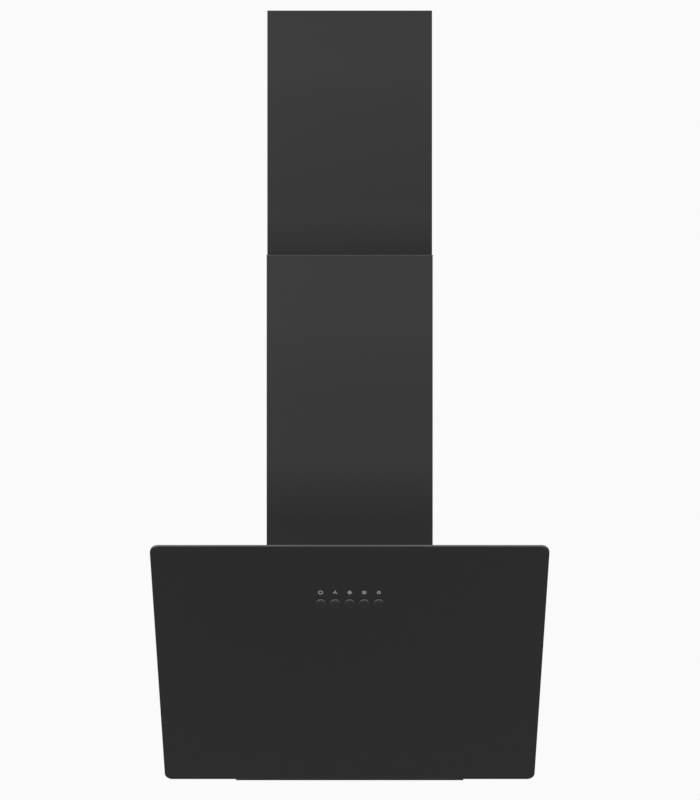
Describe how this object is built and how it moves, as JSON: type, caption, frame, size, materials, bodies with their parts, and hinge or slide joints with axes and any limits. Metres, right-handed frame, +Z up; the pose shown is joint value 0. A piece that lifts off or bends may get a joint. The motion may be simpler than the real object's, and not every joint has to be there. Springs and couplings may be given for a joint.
{
  "type": "chimney range hood",
  "caption": "Wall-mounted chimney range hood with a black glass front panel leaning forward, a telescopic black chimney and push buttons.",
  "frame": {"origin": "middle of the four wall screw holes, on the wall's plane", "axes": "+Z up along the chimney, +Y into the wall, +X to the right seen from the front"},
  "size_m": [0.596, 0.3777, 1.2381],
  "materials": {
    "black_glass": "polished back-printed glass with a ground edge",
    "chimney_paint": "satin",
    "body_paint": "fine matt",
    "galvanised_steel": "zinc coated",
    "filter_frame": "satin",
    "filter_mesh": "expanded mesh",
    "latch_plastic": "fine texture",
    "collar_plastic": "moulded",
    "housing_plastic": "moulded",
    "impeller_plastic": "moulded",
    "motor_casing": "pressed can",
    "machined_steel": "bright",
    "magnet": "sintered",
    "electrical_plastic": "moulded",
    "switch_plastic": "moulded",
    "button_plastic": "gloss",
    "lamp_trim": "satin",
    "lamp_diffuser": "opal"
  },
  "bodies": {
    "hood": {"lower_chimney": "chimney_paint", "side_panel_left": "body_paint", "side_panel_right": "body_paint", "bottom_panel": "body_paint", "lamp_box": "body_paint", "intake_frame": "body_paint", "back_panel": "galvanised_steel", "top_panel": "galvanised_steel", "chimney_seat": "galvanised_steel", "motor_bracket": "galvanised_steel", "hinge_brackets": "galvanised_steel", "grease_filter_frame": "filter_frame", "grease_filter_grille": "filter_frame", "grease_filter_mesh": "filter_mesh", "cable_bush": "latch_plastic", "catch_posts": "latch_plastic", "duct_collar": "collar_plastic", "blower_housing_left": "housing_plastic", "blower_housing_right": "housing_plastic", "motor_body": "motor_casing", "motor_spacers": "machined_steel", "catch_magnets": "magnet", "terminal_box": "electrical_plastic", "terminal_box_lid": "electrical_plastic", "lamp_driver": "electrical_plastic", "motor_capacitor": "electrical_plastic", "lamp_bezel": "lamp_trim", "lamp_module": "lamp_diffuser"},
    "front_panel": {"glass_panel": "black_glass", "panel_backing": "galvanised_steel", "strike_plates": "machined_steel", "hinge_leaves": "galvanised_steel", "hinge_pins": "machined_steel", "switch_block": "switch_plastic"},
    "chimney_extension": {"upper_chimney": "chimney_paint", "chimney_bracket": "galvanised_steel"},
    "fan_wheel": {"impeller": "impeller_plastic", "motor_shaft": "machined_steel"},
    "front_flap": {"flap_front": "collar_plastic"},
    "back_flap": {"flap_back": "collar_plastic"},
    "latch": {"filter_latch": "latch_plastic"},
    "power_key": {"power_button": "button_plastic"},
    "low_speed_key": {"low_speed_button": "button_plastic"},
    "medium_speed_key": {"medium_speed_button": "button_plastic"},
    "high_speed_key": {"high_speed_button": "button_plastic"},
    "light_key": {"light_button": "button_plastic"}
  },
  "joints": [
    {"name": "front_panel_hinge", "type": "hinge", "parent": "hood", "child": "front_panel", "pos_m": [0, -0.34611, 0.1748], "axis": [-1, 0, 0], "range_deg": [0, 75]},
    {"name": "chimney_slide", "type": "slide", "parent": "hood", "child": "chimney_extension", "axis": [0, 0, 1], "range_m": [-0.34, 0]},
    {"name": "fan_spin", "type": "hinge", "parent": "hood", "child": "fan_wheel", "pos_m": [0, -0.112, 0.019], "axis": [1, 0, 0], "continuous": true},
    {"name": "front_flap_hinge", "type": "hinge", "parent": "hood", "child": "front_flap", "pos_m": [0, -0.1065, 0.15755], "axis": [-1, 0, 0], "range_deg": [0, 80]},
    {"name": "back_flap_hinge", "type": "hinge", "parent": "hood", "child": "back_flap", "pos_m": [0, -0.0985, 0.15755], "axis": [1, 0, 0], "range_deg": [0, 80]},
    {"name": "latch_slide", "type": "slide", "parent": "hood", "child": "latch", "axis": [0, -0.5299, 0.848], "range_m": [0, 0.006], "stiffness_N_per_m": 300, "springref_m": -0.004},
    {"name": "power_press", "type": "slide", "parent": "front_panel", "child": "power_key", "axis": [0, 0.848, 0.5299], "range_m": [0, 0.003], "stiffness_N_per_m": 600, "springref_m": -0.002},
    {"name": "low_speed_press", "type": "slide", "parent": "front_panel", "child": "low_speed_key", "axis": [0, 0.848, 0.5299], "range_m": [0, 0.003], "stiffness_N_per_m": 600, "springref_m": -0.002},
    {"name": "medium_speed_press", "type": "slide", "parent": "front_panel", "child": "medium_speed_key", "axis": [0, 0.848, 0.5299], "range_m": [0, 0.003], "stiffness_N_per_m": 600, "springref_m": -0.002},
    {"name": "high_speed_press", "type": "slide", "parent": "front_panel", "child": "high_speed_key", "axis": [0, 0.848, 0.5299], "range_m": [0, 0.003], "stiffness_N_per_m": 600, "springref_m": -0.002},
    {"name": "light_press", "type": "slide", "parent": "front_panel", "child": "light_key", "axis": [0, 0.848, 0.5299], "range_m": [0, 0.003], "stiffness_N_per_m": 600, "springref_m": -0.002}
  ]
}
